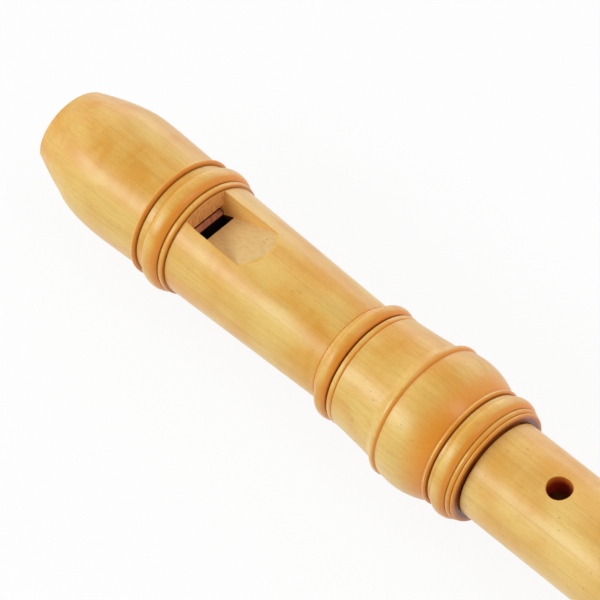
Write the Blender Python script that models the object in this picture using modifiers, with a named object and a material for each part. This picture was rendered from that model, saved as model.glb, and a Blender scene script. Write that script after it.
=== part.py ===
"""Sopranino recorder in three turned wooden joints.

It lies with its axis along X, the beak at -X, the foot at +X, and the window and the finger
holes facing +Z. Distances along it are counted from the tip of the beak. The origin is on the
surface that it lies on, under the middle of its length.
"""

import math

import bmesh
import bpy
from mathutils import Matrix, Vector

MM = 0.001

# Turned pieces have this many sides. With fewer than 36 they lie on a flat and don't roll away.
FACETS = 28
BEAD_STEPS = 6
CURVE_STEPS = 6
HOLE_FACETS = 20
HOLLOW_FACETS = 120

# Points nearer than this to the one before are one point.
SAME_POINT = 0.02 * MM
SAME_VERTEX = 0.001 * MM

# How full a curve of an outline is: 1 is straight, and 2 is rounded like a ball.
ROUND = 2.0

# Clearances
JOINT_GAP = 0.3 * MM
CORK_GAP = 0.2 * MM
BLOCK_GAP = 0.2 * MM

# How far a cutter runs past what it cuts
OVERRUN = 1.0 * MM

# Beak, from its tip to the first ring
TIP_RADIUS = 8.65 * MM
TIP_CHAMFER = 0.4 * MM
SWELL_FROM_TIP = 14.0 * MM
SWELL_RADIUS = 11.75 * MM
SWELL_TO_RINGS = 13.5 * MM
BEAK_END_RADIUS = 11.25 * MM
SWELL_FULLNESS = 1.5

# The hollow that gives the beak its thin lip, cut from below
LIP_THICKNESS = 6.4 * MM
BEAK_CUT_LENGTH = 23.7 * MM
BEAK_CUT_RADIUS = 40.0 * MM

# Rings between beak and window
THIN_BEAD_WIDTH = 1.0 * MM
THIN_BEAD_RADIUS = 11.85 * MM
GROOVE_WIDTH = 0.35 * MM
BEAK_GROOVE_RADIUS = 10.8 * MM
BEAK_BAND_WIDTH = 1.05 * MM
BEAK_BAND_RADIUS = 11.1 * MM
HEAD_BEAD_WIDTH = 4.2 * MM
HEAD_BEAD_RADIUS = 12.3 * MM
HEAD_BAND_WIDTH = 1.5 * MM
HEAD_BAND_RADIUS = 11.45 * MM

# Plain stretch with the window in it
BARREL_LENGTH = 35.5 * MM
BARREL_TOP_RADIUS = 10.85 * MM
BARREL_END_RADIUS = 9.7 * MM

# Rings and bulb round the socket
BULB_STRIP_WIDTH = 0.9 * MM
BULB_STRIP_RADIUS = 9.95 * MM
BULB_BEAD_WIDTH = 3.0 * MM
BULB_BEAD_RADIUS = 11.4 * MM
BULB_GROOVE_RADIUS = 10.3 * MM
NECK_BAND_WIDTH = 1.25 * MM
NECK_BAND_RADIUS = 10.95 * MM
NECK_LENGTH = 8.9 * MM
NECK_TOP_RADIUS = 10.9 * MM
NECK_END_RADIUS = 11.75 * MM
NECK_FULLNESS = 1.3
COVE_WIDTH = 2.1 * MM
CREST_WIDTH = 0.9 * MM
CREST_RADIUS = 12.95 * MM
BULB_TOP_RADIUS = 12.6 * MM
BULB_RADIUS = 12.95 * MM
BULB_RISE_LENGTH = 2.9 * MM
BULB_FALL_LENGTH = 6.6 * MM
BULB_END_RADIUS = 11.15 * MM
BULB_BAND_WIDTH = 0.75 * MM
BULB_BAND_RADIUS = 11.45 * MM
MOUTH_GROOVE_RADIUS = 10.75 * MM
MOUTH_BEAD_WIDTH = 2.9 * MM
MOUTH_BEAD_RADIUS = 11.75 * MM
MOUTH_BAND_WIDTH = 0.75 * MM
MOUTH_BAND_RADIUS = 10.85 * MM
MOUTH_RIM_WIDTH = 0.7 * MM
MOUTH_RIM_RADIUS = 10.55 * MM
MOUTH_EDGE_WIDTH = 0.75 * MM
MOUTH_EDGE_RADIUS = 9.6 * MM

# Inside the head
HEAD_BORE_RADIUS = 5.1 * MM
BLOCK_SEAT_RADIUS = 6.4 * MM
BLOCK_SEAT_PAST_WINDOW = 0.15 * MM
HEAD_SOCKET_RADIUS = 7.8 * MM
HEAD_SOCKET_DEPTH = 19.0 * MM

# Windway and window
WINDOW_FROM_RINGS = 0.3 * MM
WINDOW_LENGTH = 2.6 * MM
WINDWAY_FLOOR_HEIGHT = 5.15 * MM
WINDWAY_EXIT_HEIGHT = 1.0 * MM
WINDWAY_ENTRY_HEIGHT = 1.3 * MM
WINDWAY_EXIT_WIDTH = 7.2 * MM
WINDWAY_ENTRY_WIDTH = 7.8 * MM
LABIUM_ABOVE_FLOOR = 0.25 * MM
LABIUM_THICKNESS = 0.2 * MM
LABIUM_WIDTH = 7.54 * MM
RAMP_LENGTH = 13.1 * MM
UNDERCUT_LENGTH = 5.2 * MM
UNDERCUT_DEPTH = 2.1 * MM
RAMP_FLARE = 0.017
WINDOW_WALL_LEAN = 0.19
BLOCK_CHAMFER = 0.7 * MM

# Middle joint: outside, tenons and bore
BODY_TOP_RADIUS = 9.15 * MM
BODY_END_RADIUS = 8.95 * MM
FOOT_SOCKET_RADIUS = 7.2 * MM
FOOT_SOCKET_DEPTH = 12.5 * MM
TENON_RIM_BELOW_CORK = 0.2 * MM
TENON_RIM_WIDTH = 2.2 * MM
CORK_THICKNESS = 1.0 * MM
BODY_BORE_TOP_RADIUS = 4.95 * MM
BODY_BORE_END_RADIUS = 4.05 * MM

# Finger holes of the middle joint, each from the one above it, and the thumb hole below
HOLE_1_FROM_SHOULDER = 13.6 * MM
HOLE_2_FROM_1 = 14.9 * MM
HOLE_3_FROM_2 = 14.5 * MM
HOLE_4_FROM_3 = 17.5 * MM
HOLE_5_FROM_4 = 15.5 * MM
HOLE_6_FROM_5 = 13.5 * MM
FOOT_FROM_HOLE_6 = 9.0 * MM
HOLE_1_DIAMETER = 4.5 * MM
HOLE_2_DIAMETER = 4.9 * MM
HOLE_3_DIAMETER = 4.6 * MM
HOLE_4_DIAMETER = 4.9 * MM
HOLE_5_DIAMETER = 4.7 * MM
HOLE_6_PAIR = (3.1 * MM, 2.5 * MM)
THUMB_HOLE_BEFORE_HOLE_1 = 7.9 * MM
THUMB_HOLE_DIAMETER = 4.7 * MM
PAIR_WEB = 0.9 * MM

# Foot joint, from its mouth to its end
FOOT_RIM_WIDTH = 1.0 * MM
FOOT_RIM_RADIUS = 9.9 * MM
FOOT_BEAD_WIDTH = 2.4 * MM
FOOT_BEAD_RADIUS = 10.8 * MM
FOOT_GROOVE_RADIUS = 9.9 * MM
FOOT_BAND_WIDTH = 0.8 * MM
FOOT_BAND_RADIUS = 10.6 * MM
FOOT_BULB_RISE_LENGTH = 3.5 * MM
FOOT_BULB_FALL_LENGTH = 5.3 * MM
FOOT_BULB_TOP_RADIUS = 10.9 * MM
FOOT_BULB_RADIUS = 12.2 * MM
FOOT_BULB_END_RADIUS = 10.7 * MM
STEM_FALL_LENGTH = 15.5 * MM
STEM_RISE_LENGTH = 8.4 * MM
STEM_TOP_RADIUS = 10.35 * MM
STEM_WAIST_RADIUS = 8.9 * MM
STEM_END_RADIUS = 10.2 * MM
BELL_BAND_WIDTH = 0.9 * MM
BELL_BAND_RADIUS = 11.0 * MM
BELL_BEAD_WIDTH = 3.4 * MM
BELL_BEAD_RADIUS = 11.9 * MM
BELL_RIM_WIDTH = 1.6 * MM
BELL_RIM_RADIUS = 10.7 * MM
BELL_CHAMFER = 0.5 * MM
FOOT_BORE_TOP_RADIUS = 3.95 * MM
FOOT_BORE_END_RADIUS = 3.7 * MM
FOOT_BORE_FLARE = 0.8 * MM
HOLE_7_FROM_STEM_TOP = 3.9 * MM
HOLE_7_PAIR = (2.7 * MM, 2.3 * MM)


class Outline:
    """The outside of a turned piece, as (distance from the beak's tip, radius) points."""

    def __init__(self, start, radius):
        self.points = [(start, radius)]

    @property
    def end(self):
        return self.points[-1][0]

    def step(self, radius):
        """A shoulder square to the axis."""
        self.points.append((self.end, radius))

    def taper(self, width, radius):
        self.points.append((self.end + width, radius))

    def band(self, width, radius):
        """A flat band between two shoulders."""
        self.step(radius)
        self.taper(width, radius)

    def groove(self, radius):
        self.band(GROOVE_WIDTH, radius)

    def bead(self, width, foot, crest):
        """A half round, from its foot over its crest and down again."""
        start = self.end
        for i in range(BEAD_STEPS + 1):
            turn = math.pi * i / BEAD_STEPS
            x = start + width * (1 - math.cos(turn)) / 2
            self.points.append((x, foot + (crest - foot) * math.sin(turn)))

    def ease(self, width, radius, power, late=False):
        """A curve that comes to rest at radius or, if late, that leaves from rest."""
        start, first = self.points[-1]
        for i in range(1, CURVE_STEPS + 1):
            share = i / CURVE_STEPS
            risen = share**power if late else 1 - (1 - share) ** power
            self.points.append((start + width * share, first + (radius - first) * risen))


def clean(points):
    """The same points without any that repeats the one before it."""
    kept = [points[0]]
    for point in points[1:]:
        if (Vector(point) - Vector(kept[-1])).length > SAME_POINT:
            kept.append(point)
    return kept


def head_outline():
    line = Outline(0.0, TIP_RADIUS - TIP_CHAMFER)
    line.taper(TIP_CHAMFER, TIP_RADIUS)
    line.ease(SWELL_FROM_TIP - TIP_CHAMFER, SWELL_RADIUS, SWELL_FULLNESS)
    line.ease(SWELL_TO_RINGS, BEAK_END_RADIUS, SWELL_FULLNESS)
    line.bead(THIN_BEAD_WIDTH, BEAK_BAND_RADIUS, THIN_BEAD_RADIUS)
    line.groove(BEAK_GROOVE_RADIUS)
    line.band(BEAK_BAND_WIDTH, BEAK_BAND_RADIUS)
    line.bead(HEAD_BEAD_WIDTH, BEAK_BAND_RADIUS, HEAD_BEAD_RADIUS)
    line.band(HEAD_BAND_WIDTH, HEAD_BAND_RADIUS)
    line.step(BARREL_TOP_RADIUS)
    rings_end = line.end
    line.taper(BARREL_LENGTH, BARREL_END_RADIUS)
    line.band(BULB_STRIP_WIDTH, BULB_STRIP_RADIUS)
    line.bead(BULB_BEAD_WIDTH, BULB_GROOVE_RADIUS, BULB_BEAD_RADIUS)
    line.groove(BULB_GROOVE_RADIUS)
    line.band(NECK_BAND_WIDTH, NECK_BAND_RADIUS)
    line.step(NECK_TOP_RADIUS)
    line.ease(NECK_LENGTH, NECK_END_RADIUS, NECK_FULLNESS, late=True)
    line.ease(COVE_WIDTH, CREST_RADIUS, ROUND, late=True)
    line.taper(CREST_WIDTH, CREST_RADIUS)
    line.step(BULB_TOP_RADIUS)
    line.ease(BULB_RISE_LENGTH, BULB_RADIUS, ROUND)
    line.ease(BULB_FALL_LENGTH, BULB_END_RADIUS, ROUND, late=True)
    line.band(BULB_BAND_WIDTH, BULB_BAND_RADIUS)
    line.groove(MOUTH_GROOVE_RADIUS)
    line.bead(MOUTH_BEAD_WIDTH, MOUTH_GROOVE_RADIUS, MOUTH_BEAD_RADIUS)
    line.band(MOUTH_BAND_WIDTH, MOUTH_BAND_RADIUS)
    line.band(MOUTH_RIM_WIDTH, MOUTH_RIM_RADIUS)
    line.taper(MOUTH_EDGE_WIDTH, MOUTH_EDGE_RADIUS)
    return line, rings_end


HEAD, RINGS_END = head_outline()
HEAD_LENGTH = HEAD.end
WINDOW_START = RINGS_END + WINDOW_FROM_RINGS
LABIUM = WINDOW_START + WINDOW_LENGTH
BLOCK_SEAT_END = WINDOW_START + BLOCK_SEAT_PAST_WINDOW
BLOCK_FRONT = BLOCK_SEAT_END - BLOCK_GAP
LABIUM_HEIGHT = WINDWAY_FLOOR_HEIGHT + LABIUM_ABOVE_FLOOR
SHOULDER = HEAD_LENGTH + JOINT_GAP

HOLE_1 = SHOULDER + HOLE_1_FROM_SHOULDER
HOLE_2 = HOLE_1 + HOLE_2_FROM_1
HOLE_3 = HOLE_2 + HOLE_3_FROM_2
HOLE_4 = HOLE_3 + HOLE_4_FROM_3
HOLE_5 = HOLE_4 + HOLE_5_FROM_4
HOLE_6 = HOLE_5 + HOLE_6_FROM_5
THUMB_HOLE = HOLE_1 - THUMB_HOLE_BEFORE_HOLE_1
BODY_END = HOLE_6 + FOOT_FROM_HOLE_6
FOOT_MOUTH = BODY_END + JOINT_GAP


def foot_outline():
    line = Outline(FOOT_MOUTH, FOOT_RIM_RADIUS)
    line.taper(FOOT_RIM_WIDTH, FOOT_RIM_RADIUS)
    line.bead(FOOT_BEAD_WIDTH, FOOT_GROOVE_RADIUS, FOOT_BEAD_RADIUS)
    line.groove(FOOT_GROOVE_RADIUS)
    line.band(FOOT_BAND_WIDTH, FOOT_BAND_RADIUS)
    line.step(FOOT_BULB_TOP_RADIUS)
    line.ease(FOOT_BULB_RISE_LENGTH, FOOT_BULB_RADIUS, ROUND)
    line.ease(FOOT_BULB_FALL_LENGTH, FOOT_BULB_END_RADIUS, ROUND, late=True)
    line.step(STEM_TOP_RADIUS)
    stem_top = line.end
    line.ease(STEM_FALL_LENGTH, STEM_WAIST_RADIUS, ROUND)
    line.ease(STEM_RISE_LENGTH, STEM_END_RADIUS, ROUND, late=True)
    line.band(BELL_BAND_WIDTH, BELL_BAND_RADIUS)
    line.bead(BELL_BEAD_WIDTH, BELL_RIM_RADIUS, BELL_BEAD_RADIUS)
    line.band(BELL_RIM_WIDTH - BELL_CHAMFER, BELL_RIM_RADIUS)
    line.taper(BELL_CHAMFER, BELL_RIM_RADIUS - BELL_CHAMFER)
    return line, stem_top


FOOT, STEM_TOP = foot_outline()
TOTAL_LENGTH = FOOT.end
HOLE_7 = STEM_TOP + HOLE_7_FROM_STEM_TOP

# The widest ring lies on one of its flats.
WIDEST = max(radius for _, radius in HEAD.points + FOOT.points)
AXIS_HEIGHT = WIDEST * math.cos(math.pi / FACETS)
ABOVE_ALL = 2 * WIDEST


def place(along, across=0.0, above_axis=0.0):
    """World coordinates of a point given from the beak's tip and from the axis."""
    return Vector((along - TOTAL_LENGTH / 2, across, AXIS_HEIGHT + above_axis))


def new_collection(name):
    collection = bpy.data.collections.new(name)
    bpy.context.scene.collection.children.link(collection)
    return collection


def wood(name, colour, roughness):
    material = bpy.data.materials.new(name)
    material.use_nodes = True
    shader = material.node_tree.nodes["Principled BSDF"]
    shader.inputs["Base Color"].default_value = (*colour, 1.0)
    shader.inputs["Roughness"].default_value = roughness
    shader.inputs["Metallic"].default_value = 0.0
    return material


def add_object(name, mesh, collection, material=None):
    obj = bpy.data.objects.new(name, mesh)
    collection.objects.link(obj)
    if material:
        mesh.materials.append(material)
    return obj


def turned(name, outside, inside, origin, material):
    """A solid turned round the recorder's axis, with its own origin on that axis.

    outside runs from the beak's end to the foot's, and inside runs back through the bore.
    """
    loop = clean(outside + inside)
    half_facet = math.pi / FACETS
    mesh = bpy.data.meshes.new(name)
    points = []
    for along, radius in loop:
        x = radius * math.cos(half_facet)
        y = radius * math.sin(half_facet)
        points.append((x, y, origin - along))
    edges = [(i, (i + 1) % len(loop)) for i in range(len(loop))]
    mesh.from_pydata(points, edges, [])
    obj = add_object(name, mesh, RECORDER, material)
    obj.location = place(origin)
    # The profile's own Z, which points to the beak, is laid along -X.
    obj.rotation_euler = (0.0, math.radians(-90), 0.0)
    screw = obj.modifiers.new("turning", "SCREW")
    screw.axis = "Z"
    screw.angle = math.tau
    screw.steps = FACETS
    screw.render_steps = FACETS
    screw.use_merge_vertices = True
    screw.merge_threshold = SAME_VERTEX
    screw.use_smooth_shade = True
    return obj


def cutter(name, build_mesh):
    """A helper solid that only cuts, made by build_mesh in world coordinates."""
    bm = bmesh.new()
    build_mesh(bm)
    bmesh.ops.recalc_face_normals(bm, faces=bm.faces)
    mesh = bpy.data.meshes.new(name)
    bm.to_mesh(mesh)
    bm.free()
    obj = add_object(name, mesh, CUTTERS)
    obj.hide_render = True
    obj.display_type = "WIRE"
    return obj


def cut(piece, helper):
    boolean = piece.modifiers.new(helper.name, "BOOLEAN")
    boolean.operation = "DIFFERENCE"
    boolean.solver = "EXACT"
    boolean.object = helper


def drill(name, along, across, diameter, from_below=False):
    """A straight hole from the middle of the bore out through one wall."""
    length = ABOVE_ALL
    side = -1 if from_below else 1

    def build(bm):
        centre = place(along, across, side * length / 2)
        bmesh.ops.create_cone(
            bm,
            cap_ends=True,
            segments=HOLE_FACETS,
            radius1=diameter / 2,
            radius2=diameter / 2,
            depth=length,
            matrix=Matrix.Translation(centre),
        )

    return cutter(name, build)


def drill_pair(piece, name, along, diameters):
    """Two small holes side by side, for one finger, with a web of wood between them."""
    wide, narrow = diameters
    middle = (wide - narrow) / 2
    cut(piece, drill(name + "_wide", along, middle - (wide + PAIR_WEB) / 2, wide))
    cut(piece, drill(name + "_narrow", along, middle + (narrow + PAIR_WEB) / 2, narrow))


def block_of_points(bm, low, high):
    """A box, or a taper where its ends differ, between two rectangles square to the axis.

    Each rectangle is (along, half width, lowest, highest), from the axis.
    """
    bmesh.ops.create_cube(bm, size=ABOVE_ALL)
    for vert in bm.verts:
        along, half_width, lowest, highest = high if vert.co.x > 0 else low
        across = math.copysign(half_width, vert.co.y)
        height = highest if vert.co.z > 0 else lowest
        vert.co = place(along, across, height)


def build_windway(bm):
    roof_entry = WINDWAY_FLOOR_HEIGHT + WINDWAY_ENTRY_HEIGHT
    roof_exit = WINDWAY_FLOOR_HEIGHT + WINDWAY_EXIT_HEIGHT
    floor = WINDWAY_FLOOR_HEIGHT
    block_of_points(
        bm,
        (-OVERRUN, WINDWAY_ENTRY_WIDTH / 2, floor, roof_entry),
        (WINDOW_START + OVERRUN, WINDWAY_EXIT_WIDTH / 2, floor, roof_exit),
    )


def build_window(bm):
    """The window, the ramp above the labium and the undercut below it, as one tapered prism."""
    barrel_taper = (BARREL_TOP_RADIUS - BARREL_END_RADIUS) / BARREL_LENGTH
    ramp_top = BARREL_TOP_RADIUS - barrel_taper * (LABIUM + RAMP_LENGTH - RINGS_END)
    slope = (ramp_top - LABIUM_HEIGHT) / RAMP_LENGTH
    far = RAMP_LENGTH * 1.5
    underside = LABIUM_HEIGHT - LABIUM_THICKNESS
    side = [
        (WINDOW_START, ABOVE_ALL),
        (WINDOW_START, underside - UNDERCUT_DEPTH),
        (LABIUM + UNDERCUT_LENGTH, underside - UNDERCUT_DEPTH),
        (LABIUM, underside),
        (LABIUM, LABIUM_HEIGHT),
        (LABIUM + far, LABIUM_HEIGHT + slope * far),
        (LABIUM + far, ABOVE_ALL),
    ]

    def half_width(along, height):
        lean = WINDOW_WALL_LEAN * (height - LABIUM_HEIGHT)
        return LABIUM_WIDTH / 2 + lean + RAMP_FLARE * (along - LABIUM)

    near = [bm.verts.new(place(x, -half_width(x, z), z)) for x, z in side]
    away = [bm.verts.new(place(x, half_width(x, z), z)) for x, z in side]
    bm.faces.new(near)
    bm.faces.new(reversed(away))
    for i, vert in enumerate(near):
        j = (i + 1) % len(near)
        bm.faces.new((vert, away[i], away[j], near[j]))


def build_beak_hollow(bm):
    """A wide cylinder across the beak, which leaves the lip and a concave slope under it."""
    lip = Vector((0.0, TIP_RADIUS - LIP_THICKNESS))
    heel = Vector((BEAK_CUT_LENGTH, -BEAK_END_RADIUS))
    chord = heel - lip
    away = Vector((chord.y, -chord.x)).normalized()
    reach = math.sqrt(BEAK_CUT_RADIUS**2 - (chord.length / 2) ** 2)
    centre = (lip + heel) / 2 + away * reach
    across_axis = Matrix.Rotation(math.radians(90), 4, "X")
    bmesh.ops.create_cone(
        bm,
        cap_ends=True,
        segments=HOLLOW_FACETS,
        radius1=BEAK_CUT_RADIUS,
        radius2=BEAK_CUT_RADIUS,
        depth=2 * ABOVE_ALL,
        matrix=Matrix.Translation(place(centre.x, 0.0, centre.y)) @ across_axis,
    )


def build_floor_flat(bm):
    """All that is above the windway's floor."""
    half = BLOCK_SEAT_RADIUS + OVERRUN
    block_of_points(
        bm,
        (-OVERRUN, half, WINDWAY_FLOOR_HEIGHT, ABOVE_ALL),
        (WINDOW_START + OVERRUN, half, WINDWAY_FLOOR_HEIGHT, ABOVE_ALL),
    )


def build_block_chamfer(bm):
    """A wedge off the front edge of the windway's floor."""
    half = BLOCK_SEAT_RADIUS + OVERRUN
    top = WINDWAY_FLOOR_HEIGHT + 2 * OVERRUN
    start = WINDWAY_FLOOR_HEIGHT + OVERRUN
    end = WINDWAY_FLOOR_HEIGHT - BLOCK_CHAMFER - OVERRUN
    block_of_points(
        bm,
        (BLOCK_FRONT - BLOCK_CHAMFER - OVERRUN, half, start, top),
        (BLOCK_FRONT + OVERRUN, half, end, top),
    )


def make_head(material):
    socket_end = HEAD_LENGTH - HEAD_SOCKET_DEPTH
    inside = [
        (HEAD_LENGTH, HEAD_SOCKET_RADIUS),
        (socket_end, HEAD_SOCKET_RADIUS),
        (socket_end, HEAD_BORE_RADIUS),
        (BLOCK_SEAT_END, HEAD_BORE_RADIUS),
        (BLOCK_SEAT_END, BLOCK_SEAT_RADIUS),
        (0.0, BLOCK_SEAT_RADIUS),
    ]
    head = turned("head_joint", HEAD.points, inside, HEAD_LENGTH, material)
    cut(head, cutter("windway_cutter", build_windway))
    cut(head, cutter("window_cutter", build_window))
    cut(head, BEAK_HOLLOW)
    return head


def make_block(material):
    radius = BLOCK_SEAT_RADIUS - BLOCK_GAP
    mesh = bpy.data.meshes.new("block")
    bm = bmesh.new()
    bmesh.ops.create_cone(
        bm,
        cap_ends=True,
        segments=FACETS,
        radius1=radius,
        radius2=radius,
        depth=BLOCK_FRONT,
        matrix=Matrix.Translation((0, 0, BLOCK_FRONT / 2)) @ Matrix.Rotation(math.pi / FACETS, 4, "Z"),
    )
    bm.to_mesh(mesh)
    bm.free()
    block = add_object("block", mesh, RECORDER, material)
    # Its own Z points from its front edge to the beak's tip.
    block.location = place(BLOCK_FRONT)
    block.rotation_euler = (0.0, math.radians(-90), 0.0)
    cut(block, cutter("windway_floor_cutter", build_floor_flat))
    cut(block, cutter("block_chamfer_cutter", build_block_chamfer))
    cut(block, BEAK_HOLLOW)
    return block


def tenon_half(shoulder, depth, socket_radius, direction):
    """One tenon's outside, from the joint's shoulder to the tenon's end, and its cork's place.

    direction is -1 for a tenon that points to the beak and 1 for one that points to the foot.
    """
    cork_radius = socket_radius - CORK_GAP
    rim = cork_radius - TENON_RIM_BELOW_CORK
    bed = cork_radius - CORK_THICKNESS - CORK_GAP
    tip = shoulder + direction * depth
    near = shoulder + direction * TENON_RIM_WIDTH
    far = tip - direction * TENON_RIM_WIDTH
    points = [(shoulder, rim), (near, rim), (near, bed), (far, bed), (far, rim), (tip, rim)]
    cork = (near + direction * CORK_GAP, far - direction * CORK_GAP, cork_radius)
    return points, cork


def make_middle(material):
    upper, upper_cork = tenon_half(SHOULDER, HEAD_SOCKET_DEPTH, HEAD_SOCKET_RADIUS, -1)
    lower, lower_cork = tenon_half(BODY_END, FOOT_SOCKET_DEPTH, FOOT_SOCKET_RADIUS, 1)
    outside = upper[::-1]
    outside += [(SHOULDER, BODY_TOP_RADIUS), (BODY_END, BODY_END_RADIUS)]
    outside += lower
    inside = [
        (BODY_END + FOOT_SOCKET_DEPTH, BODY_BORE_END_RADIUS),
        (SHOULDER - HEAD_SOCKET_DEPTH, BODY_BORE_TOP_RADIUS),
    ]
    middle = turned("middle_joint", outside, inside, SHOULDER, material)
    fingers = [
        (HOLE_1, HOLE_1_DIAMETER),
        (HOLE_2, HOLE_2_DIAMETER),
        (HOLE_3, HOLE_3_DIAMETER),
        (HOLE_4, HOLE_4_DIAMETER),
        (HOLE_5, HOLE_5_DIAMETER),
    ]
    for number, (along, diameter) in enumerate(fingers, start=1):
        cut(middle, drill(f"finger_hole_{number}_cutter", along, 0.0, diameter))
    drill_pair(middle, "finger_hole_6_cutter", HOLE_6, HOLE_6_PAIR)
    thumb = drill("thumb_hole_cutter", THUMB_HOLE, 0.0, THUMB_HOLE_DIAMETER, from_below=True)
    cut(middle, thumb)
    return upper_cork, lower_cork


def make_cork(name, place_on_tenon, origin, material):
    one_end, other_end, radius = place_on_tenon
    start = min(one_end, other_end)
    end = max(one_end, other_end)
    inner = radius - CORK_THICKNESS
    outside = [(start, radius), (end, radius)]
    inside = [(end, inner), (start, inner)]
    return turned(name, outside, inside, origin, material)


def make_foot(material):
    socket_end = FOOT_MOUTH + FOOT_SOCKET_DEPTH
    inside = [
        (TOTAL_LENGTH, FOOT_BORE_END_RADIUS + FOOT_BORE_FLARE),
        (TOTAL_LENGTH - FOOT_BORE_FLARE, FOOT_BORE_END_RADIUS),
        (socket_end, FOOT_BORE_TOP_RADIUS),
        (socket_end, FOOT_SOCKET_RADIUS),
        (FOOT_MOUTH, FOOT_SOCKET_RADIUS),
    ]
    foot = turned("foot_joint", FOOT.points, inside, FOOT_MOUTH, material)
    drill_pair(foot, "finger_hole_7_cutter", HOLE_7, HOLE_7_PAIR)
    return foot


for old in list(bpy.data.objects):
    bpy.data.objects.remove(old)

RECORDER = new_collection("sopranino_recorder")
CUTTERS = new_collection("cutters")
BEAK_HOLLOW = cutter("beak_hollow_cutter", build_beak_hollow)

maple = wood("oiled_maple", (0.76, 0.48, 0.20), 0.35)
cedar = wood("cedar_block", (0.45, 0.20, 0.10), 0.6)
cork_sheet = wood("cork_sheet", (0.50, 0.30, 0.15), 0.85)

make_head(maple)
make_block(cedar)
upper_cork, lower_cork = make_middle(maple)
make_cork("upper_tenon_cork", upper_cork, SHOULDER, cork_sheet)
make_cork("lower_tenon_cork", lower_cork, FOOT_MOUTH, cork_sheet)
make_foot(maple)
print(f"length {TOTAL_LENGTH / MM:.1f} mm, head {HEAD_LENGTH / MM:.1f} mm, widest {2 * WIDEST / MM:.1f} mm")
print(f"window at {WINDOW_START / MM:.2f} mm, axis height {AXIS_HEIGHT / MM:.3f} mm")
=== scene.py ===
"""Looks of a sopranino recorder in oiled maple, lying with its window and finger holes up.

Distances along it are counted from the tip of the beak, towards the foot, and heights from its
axis. X runs along it, Z up.
"""

import math
from functools import partial

import bmesh
import bpy
from mathutils import Matrix, Vector


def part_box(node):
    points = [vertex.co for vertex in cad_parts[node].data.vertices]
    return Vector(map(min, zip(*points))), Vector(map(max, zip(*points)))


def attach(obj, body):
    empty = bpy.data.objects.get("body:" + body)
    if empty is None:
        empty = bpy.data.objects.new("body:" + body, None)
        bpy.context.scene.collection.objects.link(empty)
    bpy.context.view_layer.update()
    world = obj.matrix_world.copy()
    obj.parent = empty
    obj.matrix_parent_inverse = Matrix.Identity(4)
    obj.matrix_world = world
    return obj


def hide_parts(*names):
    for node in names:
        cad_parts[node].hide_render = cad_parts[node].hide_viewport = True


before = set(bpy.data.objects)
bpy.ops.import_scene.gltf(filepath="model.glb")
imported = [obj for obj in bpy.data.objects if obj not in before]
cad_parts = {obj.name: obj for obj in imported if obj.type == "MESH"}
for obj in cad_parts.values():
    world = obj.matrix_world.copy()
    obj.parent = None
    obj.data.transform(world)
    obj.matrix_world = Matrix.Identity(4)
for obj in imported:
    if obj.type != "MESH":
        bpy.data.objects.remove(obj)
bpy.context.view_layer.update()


# Head joint. One piece of maple, turned between centres, with its beads and grooves cut from
# the solid. The beak is hollowed from below afterwards, which leaves the lip, and the window
# with its ramp is cut by knife and file. The whole is stained, oiled and polished.

MM = 0.001
HAIR = 0.001 * MM  # too thin to see, but enough to keep two places apart
SAME_POINT = 2 * HAIR
TURNED_SIDES = 192

head_low, head_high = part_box("head_joint")
TIP = head_low[0]
MOUTH = head_high[0] - TIP
AXIS_HEIGHT = (head_low[2] + head_high[2]) / 2

FULL = 2.0  # the fullness of a round curve
SHOULDER_SOFTNESS = 0.09 * MM
# How far the darkening reaches on each side of a seam between joints: partly dirt and wax,
# partly painted shade in the gap.
SEAM_DIRT_AND_SHADE = 0.12 * MM


class Outline:
    """The outside of a turned piece, as (distance from the beak's tip, radius) points."""

    def __init__(self, start, radius):
        self.points = [(start, radius)]

    @property
    def end(self):
        return self.points[-1][0]

    def step(self, radius):
        self.points.append((self.end, radius))

    def taper(self, width, radius):
        self.points.append((self.end + width, radius))

    def band(self, width, radius):
        self.step(radius)
        self.taper(width, radius)

    def score(self, depth):
        """A fine line, cut with the tool's point."""
        radius = self.points[-1][1]
        self.taper(0.08 * MM, radius - depth)
        self.taper(0.08 * MM, radius)

    def bead(self, width, foot, crest, last_foot=None):
        """A half round from its first foot over its crest to its last foot."""
        start = self.end
        steps = 18
        for i in range(steps + 1):
            turn = math.pi * i / steps
            base = foot if turn < math.pi / 2 or last_foot is None else last_foot
            x = start + width * (1 - math.cos(turn)) / 2
            self.points.append((x, base + (crest - base) * math.sin(turn)))

    def ease(self, width, radius, fullness, late=False, crown=0.0):
        """A curve that comes to rest at radius or, if late, that leaves from rest.

        crown is the share of it over which the turn at the rest is spread.
        """
        start, first = self.points[-1]
        steps = 20

        def from_rest(share):
            return (share**2 + crown**2) ** (fullness / 2) - crown**fullness

        for i in range(1, steps + 1):
            share = i / steps
            risen = from_rest(share if late else 1 - share) / from_rest(1.0)
            risen = risen if late else 1 - risen
            self.points.append((start + width * share, first + (radius - first) * risen))


def soften(points, radius, closed=True):
    """The same outline with its corners rounded, as sanding and polishing leave them."""
    kept = [Vector(points[0])]
    for point in points[1:]:
        if (Vector(point) - kept[-1]).length > SAME_POINT:
            kept.append(Vector(point))
    if closed and (kept[0] - kept[-1]).length < SAME_POINT:
        kept.pop()
    sharp = math.radians(24)
    most_of_a_side = 0.45
    steps = 3
    soft = []
    for i, point in enumerate(kept):
        if not closed and i in (0, len(kept) - 1):
            soft.append(point)
            continue
        back = kept[i - 1] - point
        ahead = kept[(i + 1) % len(kept)] - point
        turn = math.pi - back.angle(ahead)
        if turn < sharp:
            soft.append(point)
            continue
        reach = radius * math.tan(turn / 2)
        reach = min(reach, most_of_a_side * back.length, most_of_a_side * ahead.length)
        start = point + back.normalized() * reach
        end = point + ahead.normalized() * reach
        for j in range(steps + 1):
            t = j / steps
            soft.append(start * (1 - t) ** 2 + point * 2 * t * (1 - t) + end * t**2)
    return soft


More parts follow.
